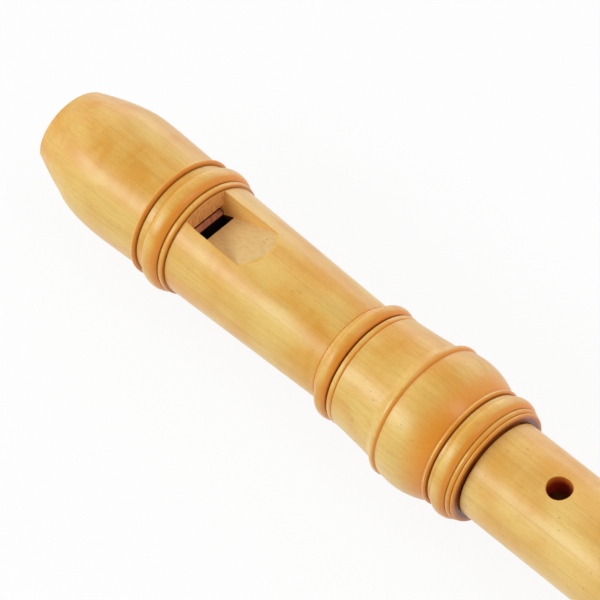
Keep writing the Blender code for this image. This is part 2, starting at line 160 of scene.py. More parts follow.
def relief(points, seams=()):
    """From 1, deep in a groove or at a seam between joints, over 0 to -1, high on a bead.

    What lies deeper than any groove is a bore, which counts as level.
    """
    full_depth = 0.75 * MM
    full_height = 0.8 * MM
    deepest_groove = 1.8 * MM
    groove_reach = 0.6 * MM
    bead_reach = 1.7 * MM
    seam_dirt_and_shade_level = 0.62

    def radii_near(point, reach):
        before = [p.y for p in points if point.x - reach <= p.x <= point.x]
        after = [p.y for p in points if point.x <= p.x <= point.x + reach]
        return before, after

    found = []
    for point in points:
        before, after = radii_near(point, groove_reach)
        depth = min(max(before), max(after)) - point.y
        depth = depth / full_depth if depth < deepest_groove else 0.0
        # A seam between joints is darkened like a groove, partly as dirt and partly as painted
        # shade.
        for seam in seams:
            depth = max(depth, seam_dirt_and_shade_level * (1 - abs(point.x - seam) / SEAM_DIRT_AND_SHADE))
        before, after = radii_near(point, bead_reach)
        height = (point.y - max(min(before), min(after))) / full_height
        found.append(min(max(depth, 0.0), 1.0) - min(max(height, 0.0), 1.0))
    return found


def add_node(tree, kind, *inputs, output=0, **settings):
    """Adds a node, and returns one of its outputs, or the node itself if output is None.

    inputs are values and links in the node's own order, or a dictionary of them.
    """
    new = tree.nodes.new(kind)
    for name, value in settings.items():
        setattr(new, name, value)
    by_socket = inputs[0] if inputs and isinstance(inputs[0], dict) else dict(enumerate(inputs))
    for socket, value in by_socket.items():
        if isinstance(value, bpy.types.NodeSocket):
            tree.links.new(value, new.inputs[socket])
        else:
            new.inputs[socket].default_value = value
    return new if output is None else new.outputs[output]


def lathe_tree():
    """Turns an outline round the axis: every point of it becomes a ring of points.

    The beak's hollow is a wide arc across the axis. What lies below it is raised to it, and
    drawn in to the width that is left, with soft edges. That makes the lip and the slope under
    it, and the arc turns up at the tip, where the lip's own edge is rounded.
    """
    tree = bpy.data.node_groups.new("lathe", "GeometryNodeTree")
    add = partial(add_node, tree)
    for name, kind in (
        ("Outline", "Geometry"),
        ("Sides", "Int"),
        ("Axis Height", "Float"),
        ("Closed", "Int"),
        ("Hollow Centre", "Vector"),
        ("Hollow Radius", "Float"),
        ("Hollow Edge", "Float"),
        ("Lip Rounding", "Float"),
        ("Tip", "Float"),
        ("Material", "Material"),
    ):
        tree.interface.new_socket(name, in_out="INPUT", socket_type="NodeSocket" + kind)
    tree.interface.new_socket("Turned", in_out="OUTPUT", socket_type="NodeSocketGeometry")
    given = add("NodeGroupInput", output=None).outputs
    outline = given["Outline"]

    # A sheet with a row of points for each point of the outline
    count = add(
        "GeometryNodeAttributeDomainSize",
        {"Geometry": outline},
        output="Point Count",
        component="MESH",
    )
    rows = add("ShaderNodeMath", count, given["Closed"], operation="ADD")
    columns = add("ShaderNodeMath", given["Sides"], 1.0, operation="ADD")
    sheet = add("GeometryNodeMeshGrid", {"Vertices X": rows, "Vertices Y": columns})
    index = add("GeometryNodeInputIndex")
    row = add("ShaderNodeMath", index, columns, operation="DIVIDE")
    row = add("ShaderNodeMath", row, operation="FLOOR")
    earlier = add("ShaderNodeMath", row, columns, operation="MULTIPLY")
    column = add("ShaderNodeMath", index, earlier, operation="SUBTRACT")
    point = add("ShaderNodeMath", row, count, operation="FLOORED_MODULO")

    # The turned place of each point of the sheet
    profile = add(
        "GeometryNodeSampleIndex",
        {"Geometry": outline, "Value": add("GeometryNodeInputPosition"), "Index": point},
        output="Value",
        data_type="FLOAT_VECTOR",
        domain="POINT",
    )
    x, _, radius = add("ShaderNodeSeparateXYZ", profile, output=None).outputs
    turn = add("ShaderNodeMath", column, given["Sides"], operation="DIVIDE")
    turn = add("ShaderNodeMath", turn, math.tau, operation="MULTIPLY")
    sine = add("ShaderNodeMath", turn, operation="SINE")
    y = add("ShaderNodeMath", radius, sine, operation="MULTIPLY")
    cosine = add("ShaderNodeMath", turn, operation="COSINE")
    height = add("ShaderNodeMath", radius, cosine, operation="MULTIPLY")

    # The height of the hollow there: its arc, and the lift that rounds the lip's edge
    centre = add("ShaderNodeSeparateXYZ", given["Hollow Centre"], output=None).outputs
    arc_radius = given["Hollow Radius"]
    run = add("ShaderNodeMath", x, centre[0], operation="SUBTRACT")
    run = add("ShaderNodeMath", run, run, operation="MULTIPLY")
    rise = add("ShaderNodeMath", arc_radius, arc_radius, operation="MULTIPLY")
    rise = add("ShaderNodeMath", rise, run, operation="SUBTRACT")
    rise = add("ShaderNodeMath", rise, 0.0, operation="MAXIMUM")
    rise = add("ShaderNodeMath", rise, operation="SQRT")
    near_tip = add("ShaderNodeMath", x, given["Tip"], operation="SUBTRACT")
    near_tip = add("ShaderNodeMath", near_tip, given["Lip Rounding"], operation="DIVIDE")
    near_tip = add("ShaderNodeMath", 1.0, near_tip, operation="SUBTRACT")
    near_tip = add("ShaderNodeMath", near_tip, 0.0, operation="MAXIMUM")
    lift = add("ShaderNodeMath", near_tip, near_tip, operation="MULTIPLY")
    lift = add("ShaderNodeMath", 1.0, lift, operation="SUBTRACT")
    lift = add("ShaderNodeMath", lift, operation="SQRT")
    lift = add("ShaderNodeMath", 1.0, lift, operation="SUBTRACT")
    lift = add("ShaderNodeMath", lift, given["Lip Rounding"], operation="MULTIPLY")
    hollow = add("ShaderNodeMath", centre[2], rise, operation="ADD")
    hollow = add("ShaderNodeMath", hollow, lift, operation="ADD")

    # Half the width that is left at that height
    above_axis = add("ShaderNodeMath", hollow, 0.0, operation="MAXIMUM")
    below_axis = add("ShaderNodeMath", above_axis, hollow, operation="SUBTRACT")
    above_axis = add("ShaderNodeMath", above_axis, above_axis, operation="MULTIPLY")
    half = add("ShaderNodeMath", radius, radius, operation="MULTIPLY")
    half = add("ShaderNodeMath", half, above_axis, operation="SUBTRACT")
    half = add("ShaderNodeMath", half, 0.0, operation="MAXIMUM")
    half = add("ShaderNodeMath", half, operation="SQRT")
    half = add("ShaderNodeMath", half, below_axis, operation="ADD")
    other_half = add("ShaderNodeMath", half, -1.0, operation="MULTIPLY")

    edge = given["Hollow Edge"]
    y = add("ShaderNodeMath", y, half, edge, operation="SMOOTH_MIN")
    y = add("ShaderNodeMath", y, other_half, edge, operation="SMOOTH_MAX")
    height = add("ShaderNodeMath", height, hollow, edge, operation="SMOOTH_MAX")
    z = add("ShaderNodeMath", height, given["Axis Height"], operation="ADD")
    place = add("ShaderNodeCombineXYZ", x, y, z)
    shaped = add("GeometryNodeSetPosition", {"Geometry": sheet, "Position": place})

    level = add(
        "GeometryNodeInputNamedAttribute",
        {"Name": "relief"},
        output="Attribute",
        data_type="FLOAT",
    )
    level = add(
        "GeometryNodeSampleIndex",
        {"Geometry": outline, "Value": level, "Index": point},
        output="Value",
        data_type="FLOAT",
        domain="POINT",
    )
    marked = add(
        "GeometryNodeStoreNamedAttribute",
        {"Geometry": shaped, "Name": "relief", "Value": level},
        data_type="FLOAT",
        domain="POINT",
    )
    merged = add("GeometryNodeMergeByDistance", {"Geometry": marked, "Distance": HAIR / 2})
    smooth = add("GeometryNodeSetShadeSmooth", {"Geometry": merged})
    solid = add("GeometryNodeRealizeInstances", {"Geometry": smooth})
    dressed = add("GeometryNodeSetMaterial", {"Geometry": solid, "Material": given["Material"]})
    add("NodeGroupOutput", {"Turned": dressed}, output=None)
    return tree


LATHE = lathe_tree()
NO_HOLLOW = ((0.0, 0.0, -1.0), 0.0, HAIR)  # far below the piece, so it takes nothing off
LIP_ROUNDING = 0.6 * MM


def as_object(name, mesh):
    made = bpy.data.objects.new(name, mesh)
    bpy.context.scene.collection.objects.link(made)
    return made


def baked(obj):
    """The object as its modifiers leave it, as a plain mesh under the same name."""
    bpy.context.view_layer.update()
    graph = bpy.context.evaluated_depsgraph_get()
    mesh = bpy.data.meshes.new_from_object(obj.evaluated_get(graph))
    obj.modifiers.clear()
    obj.data = mesh
    mesh.name = obj.name
    return obj


def turned(name, outline, material, hollow=NO_HOLLOW, closed=True, seams=()):
    """A piece turned from an outline, closed at its ends where the outline is open."""
    points = soften(outline, SHOULDER_SOFTNESS, closed)
    edges = [(i, i + 1) for i in range(len(points) - 1)]
    mesh = bpy.data.meshes.new(name)
    mesh.from_pydata([(TIP + p.x, 0.0, p.y) for p in points], edges, [])
    levels = mesh.attributes.new("relief", "FLOAT", "POINT")
    levels.data.foreach_set("value", relief(points, seams))
    made = as_object(name, mesh)
    modifier = made.modifiers.new("lathe", "NODES")
    modifier.node_group = LATHE
    settings = {
        "Sides": TURNED_SIDES,
        "Axis Height": AXIS_HEIGHT,
        "Closed": int(closed),
        "Hollow Centre": hollow[0],
        "Hollow Radius": hollow[1],
        "Hollow Edge": hollow[2],
        "Lip Rounding": LIP_ROUNDING,
        "Tip": TIP,
        "Material": material,
    }
    for item in LATHE.interface.items_tree:
        if item.in_out == "INPUT" and item.name in settings:
            modifier[item.identifier] = settings[item.name]
    baked(made)
    bm = bmesh.new()
    bm.from_mesh(made.data)
    bmesh.ops.holes_fill(bm, edges=bm.edges, sides=0)
    bmesh.ops.recalc_face_normals(bm, faces=bm.faces)
    bm.to_mesh(made.data)
    bm.free()
    return made


def linear(code):
    """The linear colour of an sRGB hex value."""
    parts = [int(code[i : i + 2], 16) / 255 for i in (1, 3, 5)]
    return [p / 12.92 if p <= 0.04045 else ((p + 0.055) / 1.055) ** 2.4 for p in parts] + [1.0]


def per_m(*millimetres):
    """The scale of a pattern whose features have these sizes along X, Y and Z."""
    return [1 / (size * MM) for size in millimetres]


def new_material(name):
    material = bpy.data.materials.new(name)
    material.use_nodes = True
    material.node_tree.nodes.clear()
    return material, material.node_tree


def figure(tree, where, sizes, detail=2.0, offset=(0.0, 0.0, 0.0), distortion=0.0):
    """A pattern of wood or cork, whose features have these millimetres along X, Y and Z."""
    scaled = {"Vector": where, "Scale": per_m(*sizes), "Location": offset}
    scaled = add_node(tree, "ShaderNodeMapping", scaled)
    return add_node(
        tree,
        "ShaderNodeTexNoise",
        {"Vector": scaled, "Scale": 1.0, "Detail": detail, "Distortion": distortion},
    )


def stained(tree, colour, pattern, low, high, strength, stain):
    """The colour, with a stain over it that grows as the pattern goes from low to high."""
    share = add_node(
        tree,
        "ShaderNodeMapRange",
        {"Value": pattern, "From Min": low, "From Max": high, "To Max": strength},
        interpolation_type="SMOOTHSTEP",
    )
    colours = {0: share, 6: colour, 7: linear(stain)}
    return add_node(tree, "ShaderNodeMix", colours, output=2, data_type="RGBA")


def give_finish(tree, values):
    """Ends a material in a shader with these values."""
    shader = add_node(tree, "ShaderNodeBsdfPrincipled", values)
    add_node(tree, "ShaderNodeOutputMaterial", {"Surface": shader}, output=None)


# The plain barrel between the rings, where the window is cut
BARREL_START = 35.6 * MM
BARREL_END = BARREL_START + 35.5 * MM
BARREL_TOP_RADIUS = 10.85 * MM
BARREL_END_RADIUS = 9.7 * MM
BARREL_TAPER = (BARREL_TOP_RADIUS - BARREL_END_RADIUS) / (BARREL_END - BARREL_START)


def barrel_radius(along):
    return BARREL_TOP_RADIUS - BARREL_TAPER * (along - BARREL_START)


def distance_from_axis(tree, where):
    _, y, z = add_node(tree, "ShaderNodeSeparateXYZ", where, output=None).outputs
    z = add_node(tree, "ShaderNodeMath", z, AXIS_HEIGHT, operation="SUBTRACT")
    y = add_node(tree, "ShaderNodeMath", y, y, operation="MULTIPLY")
    z = add_node(tree, "ShaderNodeMath", z, z, operation="MULTIPLY")
    square = add_node(tree, "ShaderNodeMath", y, z, operation="ADD")
    return add_node(tree, "ShaderNodeMath", square, operation="SQRT")


def depth_under_barrel(tree, where):
    """How deep a place lies under the barrel's surface, in metres."""
    x = add_node(tree, "ShaderNodeSeparateXYZ", where)
    surface = add_node(tree, "ShaderNodeMath", x, -BARREL_TAPER, operation="MULTIPLY")
    surface = add_node(tree, "ShaderNodeMath", surface, barrel_radius(-TIP), operation="ADD")
    from_axis = distance_from_axis(tree, where)
    return add_node(tree, "ShaderNodeMath", surface, from_axis, operation="SUBTRACT")


# The tilt makes slopes that face the foot, and those that face up, take the deeper tint.
FIBRES = (0.985, -0.07, 0.155)  # along the joints, and a little upwards to the foot


def maple(name, billet, pale, amber, end_grain, roughness, coat, bare=None):
    """Stained maple: fine even grain, soft amber clouds, a faint curl and small flecks.

    billet shifts the pattern, as each joint is from its own piece of wood. End grain takes up
    more stain, and slopes that face the foot and upwards are tinted deeper than those that face
    the beak. Flat ends are faced and browner. Grooves and seams between joints are darkened,
    partly by stain and wax that stay there and partly as painted shade.
    bare is the colour of wood cut after the staining, which shows under the surface, with
    warmer side walls, and with the chisel's marks where it is cut across the fibres. Maple's
    pores are too fine to show, so the lines of the grain are drawn coarser than they are.
    """
    material, tree = new_material(name)
    add = partial(add_node, tree)
    coords = add("ShaderNodeTexCoord", output=None).outputs
    where = coords["Object"]
    facing = add("ShaderNodeSeparateXYZ", coords["Normal"], output=None).outputs
    clouds = figure(tree, where, (12, 7, 7), 1.5, (billet, 0, 0), 0.3)
    curl = figure(tree, where, (2.2, 7, 7), 2.0, (0, billet, 0), 0.5)
    grain = figure(tree, where, (22, 0.55, 0.55), 4.0, (0, 0, billet))
    fleck = figure(tree, where, (1.0, 0.22, 0.22), 2.0, (billet, billet, 0))
    speck = figure(tree, where, (1.2, 0.7, 0.7), 0.0, (0, billet, billet))

    colour = stained(tree, linear(pale), clouds, 0.3, 0.7, 0.85, amber)
    colour = stained(tree, colour, curl, 0.4, 0.7, 0.3, pale)
    if bare:
        depth = depth_under_barrel(tree, where)
        colour = stained(tree, colour, depth, 0.1 * MM, 0.55 * MM, 1.0, bare)
        on_a_wall = add("ShaderNodeMath", facing[1], operation="ABSOLUTE")
        colour = stained(tree, colour, on_a_wall, 0.6, 0.9, 0.8, "#FAC068")
    colour = stained(tree, colour, grain, 0.42, 0.72, 0.28, "#C88A30")
    colour = stained(tree, colour, fleck, 0.5, 0.75, 0.18, "#B4742C")
    colour = stained(tree, colour, speck, 0.83, 0.86, 0.35, "#A0682C")

    along_fibres = add(
        "ShaderNodeVectorMath",
        coords["Normal"],
        FIBRES,
        output="Value",
        operation="DOT_PRODUCT",
    )
    # Slopes that face the beak get less than half of that tint.
    other_way = add("ShaderNodeMath", along_fibres, -0.4, operation="MULTIPLY")
    cut_across = add("ShaderNodeMath", along_fibres, other_way, operation="MAXIMUM")
    spots = add(
        "ShaderNodeMapRange",
        {"Value": fleck, "From Min": 0.4, "From Max": 0.7, "To Max": -0.3},
        interpolation_type="SMOOTHSTEP",
    )
    uptake = add("ShaderNodeMath", spots, 0.95, operation="ADD")
    colour = stained(tree, colour, cut_across, 0.2, 0.6, uptake, end_grain)
    if bare:
        chisel_marks = figure(tree, where, (1.0, 0.14, 1.8))
        upright = add(
            "ShaderNodeMapRange",
            {"Value": along_fibres, "From Min": 0.6, "From Max": 0.9, "To Max": 0.6},
            interpolation_type="SMOOTHSTEP",
        )
        colour = stained(tree, colour, chisel_marks, 0.45, 0.65, upright, "#B06A3C")
    if coat:
        faced = add("ShaderNodeMath", facing[0], operation="ABSOLUTE")
        uptake = add("ShaderNodeMath", spots, 0.8, operation="ADD")
        colour = stained(tree, colour, faced, 0.93, 1.0, uptake, "#C28440")
    level = add("ShaderNodeAttribute", output="Fac", attribute_name="relief")
    colour = stained(tree, colour, level, -0.2, -1.0, 0.15, end_grain)
    # Grooves and seams go orange, then near black where deepest: partly stain and wax, partly
    # painted shade.
    colour = stained(tree, colour, level, 0.04, 0.45, 0.75, "#C4601A")
    colour = stained(tree, colour, level, 0.35, 1.0, 0.85, "#6A2A0E")

    uneven_roughness = add(
        "ShaderNodeMapRange",
        {
            "Value": grain,
            "From Min": 0.3,
            "From Max": 0.8,
            "To Min": roughness,
            "To Max": roughness + 0.06,
        },
        interpolation_type="SMOOTHSTEP",
    )
    bump = add("ShaderNodeBump", {"Strength": 0.15, "Distance": 0.03 * MM, "Height": fleck})
    give_finish(
        tree,
        {
            "Base Color": colour,
            "Roughness": uneven_roughness,
            "IOR": 1.5,
            "Specular IOR Level": 0.1 if coat else 0.5,
            "Normal": bump,
            "Coat Weight": coat,
            "Coat Roughness": 0.36,
            "Coat IOR": 1.5,
        },
    )
    return material


PALE = "#EBBF66"
AMBER = "#E29826"
DEEP = "#EE8E16"
head_maple = maple("oiled_maple_head", 0.0, PALE, AMBER, DEEP, 0.4, 0.85)
cut_maple = maple("knife_cut_maple", 3.1, PALE, AMBER, "#F8B266", 0.55, 0.0, bare="#E2B878")
# The bore, and the slot under the labium, are painted near black as painted shade; oiled maple
# in there is only a little darker.
bore_maple_painted_shade = maple("oiled_bore_maple_painted_shade", 5.7, "#3A1A0C", "#2E140A", "#200D06", 0.5, 0.0)

# Beak, and the hollow under it
TIP_RADIUS = 8.65 * MM
TIP_ROUNDING = 0.7 * MM
SWELL_FROM_TIP = 14.0 * MM
SWELL_RADIUS = 11.75 * MM
SWELL_FULLNESS = 1.5
SWELL_CROWN = 0.25
RINGS_FROM_TIP = 27.85 * MM
WINDOW_GROOVE = BARREL_START - 0.07 * MM
BEAK_END_RADIUS = 11.25 * MM
LIP_THICKNESS = 6.4 * MM
BEAK_CUT_LENGTH = 23.7 * MM
BEAK_CUT_RADIUS = 40.0 * MM
BEAK_EDGE = 1.6 * MM


def head_outline():
    """The head's outside, from the tip of the beak to the mouth of the socket."""
    line = Outline(0.0, TIP_RADIUS - TIP_ROUNDING)
    line.ease(TIP_ROUNDING, TIP_RADIUS + 0.1 * MM, FULL)
    line.ease(SWELL_FROM_TIP - line.end, SWELL_RADIUS, SWELL_FULLNESS, crown=SWELL_CROWN)
    line.ease(RINGS_FROM_TIP - line.end, BEAK_END_RADIUS, 1.0, late=True, crown=SWELL_CROWN)
    # A thin bead, a fine groove, a flat strip, the main bead, and a flat bead by a groove.
    line.bead(0.9 * MM, 11.3 * MM, 11.85 * MM, 11.2 * MM)
    line.band(0.26 * MM, 10.75 * MM)
    line.band(1.35 * MM, 11.15 * MM)
    line.band(0.12 * MM, 10.85 * MM)
    line.bead(3.8 * MM, 11.15 * MM, 12.3 * MM)
    line.band(0.2 * MM, 10.95 * MM)
    line.bead(WINDOW_GROOVE - line.end, 11.2 * MM, 11.42 * MM)
    line.band(0.22 * MM, 10.6 * MM)
    line.step(BARREL_TOP_RADIUS)
    line.taper(BARREL_END - line.end, BARREL_END_RADIUS)
    # Past the barrel: a scored line, a strip, a round bead, the widest groove and a fillet.
    line.score(0.12 * MM)
    line.taper(0.9 * MM, 9.85 * MM)
    line.bead(2.85 * MM, 9.95 * MM, 11.4 * MM, 10.5 * MM)
    line.band(0.39 * MM, 10.15 * MM)
    line.bead(1.1 * MM, 10.75 * MM, 11.0 * MM)
    line.band(0.12 * MM, 10.75 * MM)
    # The barrel of the socket swells into the bulb, with a thin ring between them.
    line.step(10.95 * MM)
    line.ease(8.6 * MM, 11.7 * MM, 1.3, late=True)
    line.ease(1.9 * MM, 12.35 * MM, 1.7, late=True)
    line.bead(1.3 * MM, 12.5 * MM, 12.95 * MM, 12.5 * MM)
    line.step(12.6 * MM)
    line.ease(2.9 * MM, 12.93 * MM, FULL)
    line.ease(6.6 * MM, 11.15 * MM, FULL, late=True)
    line.bead(0.75 * MM, 11.15 * MM, 11.45 * MM, 11.0 * MM)
    line.band(0.35 * MM, 10.5 * MM)
    # The mouth's bead, two thin rings, and an edge that rounds down to the joint.
    line.band(0.65 * MM, 11.0 * MM)
    line.bead(3.05 * MM, 10.95 * MM, 11.75 * MM, 10.85 * MM)
    line.bead(0.9 * MM, 10.75 * MM, 11.0 * MM, 10.6 * MM)
    line.bead(0.6 * MM, 10.45 * MM, 10.7 * MM, 10.4 * MM)
    line.ease(MOUTH - line.end, 9.5 * MM, FULL, late=True)
    return line


def hollow_centre():
    """The centre of the arc that runs from the lip's edge to the heel of the beak."""
    lip = Vector((0.0, TIP_RADIUS - LIP_THICKNESS))
    heel = Vector((BEAK_CUT_LENGTH, -BEAK_END_RADIUS))
    chord = heel - lip
    away = Vector((chord.y, -chord.x)).normalized()
    reach = math.sqrt(BEAK_CUT_RADIUS**2 - (chord.length / 2) ** 2)
    centre = (lip + heel) / 2 + away * reach
    return TIP + centre.x, 0.0, centre.y


BEAK_HOLLOW = (hollow_centre(), BEAK_CUT_RADIUS, BEAK_EDGE)
head = turned("head", head_outline().points, head_maple, BEAK_HOLLOW, closed=False)
skin = as_object("beak_skin", head.data.copy())


def place(along, across=0.0, height=0.0):
    return Vector((TIP + along, across, AXIS_HEIGHT + height))


def cutter(name, rings, material):
    """A closed cutter lofted through rings of places, each with as many points as the next."""
    bm = bmesh.new()
    loops = [[bm.verts.new(point) for point in ring] for ring in rings]
    for first, second in zip(loops, loops[1:]):
        for i, vert in enumerate(first):
            j = (i + 1) % len(first)
            bm.faces.new((vert, first[j], second[j], second[i]))
    bm.faces.new(loops[0])
    bm.faces.new(loops[-1])
    bmesh.ops.recalc_face_normals(bm, faces=bm.faces)
    mesh = bpy.data.meshes.new(name)
    bm.to_mesh(mesh)
    bm.free()
    mesh.materials.append(material)
    return as_object(name, mesh)


def cut(piece, tool, operation="DIFFERENCE"):
    boolean = piece.modifiers.new(tool.name, "BOOLEAN")
    boolean.operation = operation
    boolean.solver = "EXACT"
    boolean.material_mode = "TRANSFER"
    boolean.object = tool


CRISP_TURN = math.radians(32)


def finish_cuts(piece, *tools):
    """Applies the cuts, removes the tools and keeps the cut edges crisp."""
    baked(piece)
    for tool in tools:
        bpy.data.objects.remove(tool)
    piece.data.shade_smooth()
    piece.data.set_sharp_from_angle(angle=CRISP_TURN)


# Inside the head
HEAD_BORE_RADIUS = 5.1 * MM
SEAT_RADIUS = 6.4 * MM
SOCKET_RADIUS = 7.8 * MM
SOCKET_DEPTH = 19.0 * MM
SOCKET_CHAMFER = 0.3 * MM

# Windway, window and labium
WINDOW_START = BARREL_START + 0.3 * MM
WINDOW_LENGTH = 2.6 * MM
LABIUM = WINDOW_START + WINDOW_LENGTH
SEAT_END = WINDOW_START + 0.15 * MM
FLOOR_HEIGHT = 5.15 * MM
ROOF_EXIT_HEIGHT = 1.0 * MM
ROOF_ENTRY_HEIGHT = 1.3 * MM
ROOF_BEVEL = 0.7 * MM
WINDWAY_HALF_WIDTH = 3.9 * MM
WINDWAY_NARROWING = 0.3 * MM
LABIUM_HEIGHT = 5.4 * MM
LABIUM_THICKNESS = 0.15 * MM
LABIUM_UNDERSIDE = LABIUM_HEIGHT - LABIUM_THICKNESS
WINDOW_HALF_WIDTH = 3.77 * MM
RAMP_LENGTH = 13.1 * MM
WINDOW_FLARE = 0.07
RAMP_FLARE = 0.017
WALL_LEAN = 0.19
UNDERCUT_LENGTH = 5.2 * MM
UNDERCUT_DEPTH = 2.1 * MM
EDGE_ROUNDING = 0.14 * MM

# How far cutters run on past the wood, and how far apart the faces of two cutters are kept
CLEAR = 26 * MM
OVERRUN = 1.0 * MM
SLIVER = 0.01 * MM

RAMP_TOP = LABIUM + RAMP_LENGTH
RAMP_SLOPE = (barrel_radius(RAMP_TOP) - LABIUM_HEIGHT) / RAMP_LENGTH


def wall(along, height):
    """Half the window's width there. Its walls lean out, and it widens from the windway on."""
    past = along - LABIUM
    widening = RAMP_FLARE * max(past, 0.0) + WINDOW_FLARE * min(past, 0.0)
    return WINDOW_HALF_WIDTH + WALL_LEAN * (height - LABIUM_HEIGHT) + widening


def ramp_ring(along):
    """The ramp's section: its floor, its walls, and their rounded edges at the surface."""
    floor = LABIUM_HEIGHT + RAMP_SLOPE * (along - LABIUM)
    radius = barrel_radius(along)
    near_the_top = 0.91 * radius
    surface = math.sqrt(radius**2 - wall(along, near_the_top) ** 2)
    side = [(wall(along, floor), floor)]
    steps = 4
    for i in range(steps + 1):
        turn = math.radians(90) * i / steps
        height = surface - EDGE_ROUNDING + EDGE_ROUNDING * math.sin(turn)
        out = EDGE_ROUNDING * (1 - math.cos(turn))
        height = max(height, floor + HAIR * (i + 1))
        side.append((wall(along, height) + out, height))
    side.append((side[-1][0], CLEAR))
    right = [place(along, y, z) for y, z in side]
    left = [place(along, -y, z) for y, z in reversed(side)]
    return right + left


def prism(name, side, half_width, material):
    """A cutter with this outline, seen from the side, and with walls half_width(x, z) away."""
    near = [place(x, -half_width(x, z), z) for x, z in side]
    far = [place(x, half_width(x, z), z) for x, z in side]
    return cutter(name, [near, far], material)


RAMP_STEPS = 24
RAMP_STEP = (RAMP_TOP + 3 * OVERRUN - WINDOW_START) / RAMP_STEPS
ramp_cut = cutter(
    "ramp_cut",
    [ramp_ring(WINDOW_START + RAMP_STEP * i) for i in range(RAMP_STEPS + 1)],
    cut_maple,
)
SLOT_TOP = LABIUM_HEIGHT + 0.2 * MM
slot_cut = prism(
    "slot_cut",
    [
        (WINDOW_START + SLIVER, SLOT_TOP),
        (WINDOW_START + SLIVER, LABIUM_UNDERSIDE - UNDERCUT_DEPTH),
        (LABIUM + UNDERCUT_LENGTH, LABIUM_UNDERSIDE - UNDERCUT_DEPTH),
        (LABIUM, LABIUM_UNDERSIDE),
        (LABIUM, SLOT_TOP),
    ],
    lambda x, z: wall(x, z) - SLIVER,
    bore_maple_painted_shade,
)
windway_cut = prism(
    "windway_cut",
    [
        (-OVERRUN, FLOOR_HEIGHT),
        (-OVERRUN, FLOOR_HEIGHT + ROOF_ENTRY_HEIGHT),
        (WINDOW_START - ROOF_BEVEL, FLOOR_HEIGHT + ROOF_EXIT_HEIGHT),
        (WINDOW_START + 2 * SLIVER, FLOOR_HEIGHT + ROOF_EXIT_HEIGHT + ROOF_BEVEL),
        (WINDOW_START + 2 * SLIVER, FLOOR_HEIGHT),
    ],
    lambda x, z: WINDWAY_HALF_WIDTH - WINDWAY_NARROWING * (x / WINDOW_START),
    cut_maple,
)
bore_cut = turned(
    "bore_cut",
    [
        (-OVERRUN, SEAT_RADIUS),
        (SEAT_END, SEAT_RADIUS),
        (SEAT_END, HEAD_BORE_RADIUS),
        (MOUTH - SOCKET_DEPTH, HEAD_BORE_RADIUS),
        (MOUTH - SOCKET_DEPTH, SOCKET_RADIUS),
        (MOUTH - SOCKET_CHAMFER, SOCKET_RADIUS),
        (MOUTH + SOCKET_CHAMFER, SOCKET_RADIUS + 2 * SOCKET_CHAMFER),
    ],
    bore_maple_painted_shade,
    closed=False,
)
for tool in (bore_cut, windway_cut, ramp_cut, slot_cut):
    cut(head, tool)
finish_cuts(head, bore_cut, windway_cut, ramp_cut, slot_cut)
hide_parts("head_joint")
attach(head, "head")


# Block. A cedar plug pressed into the beak, whose flat top is the windway's floor. It is
# turned, planed flat on top, bevelled at its front edge, and finished flush with the beak.

BLOCK_GAP = 0.05 * MM
BLOCK_RADIUS = SEAT_RADIUS - BLOCK_GAP
BLOCK_FRONT = WINDOW_START - BLOCK_GAP
BLOCK_BEVEL = 0.7 * MM


def cedar(name):
    """Bare cedar: reddish brown, open pores in short dark lines along the grain.

    Its front face, under the bevel, and its top just inside the windway are painted nearly
    black, as painted shade deep in the windway and the window.
    """
    material, tree = new_material(name)
    add = partial(add_node, tree)
    coords = add("ShaderNodeTexCoord", output=None).outputs
    where = coords["Object"]
    bands = figure(tree, where, (30, 1.6, 1.6), 3.0, distortion=0.2)
    pores = figure(tree, where, (2.2, 0.2, 0.2), 1.0)
    colour = stained(tree, linear("#E48A5C"), bands, 0.35, 0.65, 1.0, "#C8714A")
    colour = stained(tree, colour, pores, 0.58, 0.7, 0.6, "#5A2A1C")

    x, _, z = add("ShaderNodeSeparateXYZ", where, output=None).outputs
    upward = add("ShaderNodeSeparateXYZ", coords["Normal"], output="Z")
    front = TIP + BLOCK_FRONT
    painted_shade_top = add(
        "ShaderNodeMapRange",
        {"Value": upward, "From Min": 0.8, "From Max": 0.95, "To Max": 0.9},
        interpolation_type="SMOOTHSTEP",
    )
    painted_windway_shade = add(
        "ShaderNodeMapRange",
        {
            "Value": x,
            "From Min": front - 4 * MM,
            "From Max": front - 2 * MM,
            "To Max": painted_shade_top,
        },
        interpolation_type="SMOOTHSTEP",
    )
    start, full = front - 0.5 * MM, front - 0.8 * MM
    # Painted shade on the block's top just inside the windway, under its roof.
    colour = stained(tree, colour, x, start, full, painted_windway_shade, "#2A100A")
    # Painted shade on the front face, under the bevel, down in the window.
    painted_front_shade = add(
        "ShaderNodeMapRange",
        {"Value": x, "From Min": front - 0.2 * MM, "From Max": front - 0.05 * MM},
        interpolation_type="SMOOTHSTEP",
    )
    bevel = AXIS_HEIGHT + FLOOR_HEIGHT - BLOCK_BEVEL
    colour = stained(tree, colour, z, bevel, bevel - 0.35 * MM, painted_front_shade, "#1C0A06")
    pits = {"Strength": 0.4, "Distance": 0.05 * MM, "Height": pores}
    pits = add("ShaderNodeBump", pits, invert=True)
    give_finish(tree, {"Base Color": colour, "Roughness": 0.62, "IOR": 1.5, "Normal": pits})
    return material


